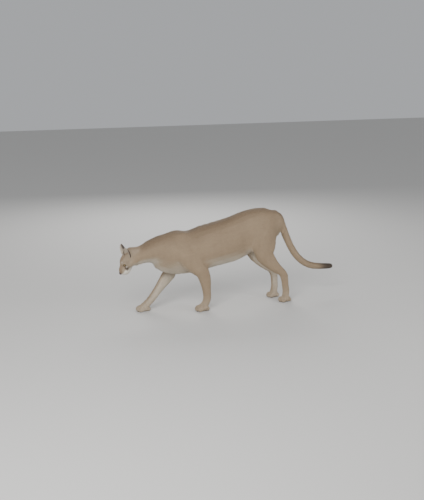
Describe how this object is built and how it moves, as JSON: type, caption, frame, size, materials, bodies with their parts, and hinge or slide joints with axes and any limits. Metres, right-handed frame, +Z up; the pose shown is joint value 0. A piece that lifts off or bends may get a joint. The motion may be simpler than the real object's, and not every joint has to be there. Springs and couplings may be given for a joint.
{
  "type": "cougar",
  "caption": "Life-size still model of a cougar walking with its head low, in a short pale tawny winter coat, the long tail hanging and levelling out behind.",
  "frame": {"origin": "on the floor under the centre of the bounding box", "axes": "+X towards the tail, -X towards the head, -Y the animal's left side, +Z up"},
  "size_m": [1.7172, 0.2674, 0.7326],
  "materials": {
    "coat": "matte short fur",
    "nose_leather": "damp satin",
    "eye": "wet gloss"
  },
  "bodies": {
    "root": {"chest": "coat", "belly": "coat", "hips": "coat", "neck": "coat", "head": "coat", "tail_base": "coat", "tail_middle": "coat", "tail_end": "coat", "shoulder_left": "coat", "shoulder_right": "coat", "forearm_left": "coat", "forearm_right": "coat", "forepaw_left": "coat", "forepaw_right": "coat", "thigh_left": "coat", "thigh_right": "coat", "shank_left": "coat", "shank_right": "coat", "hindpaw_left": "coat", "hindpaw_right": "coat", "ear_left": "coat", "ear_right": "coat", "nose": "nose_leather", "eye_left": "eye", "eye_right": "eye"}
  },
  "joints": []
}
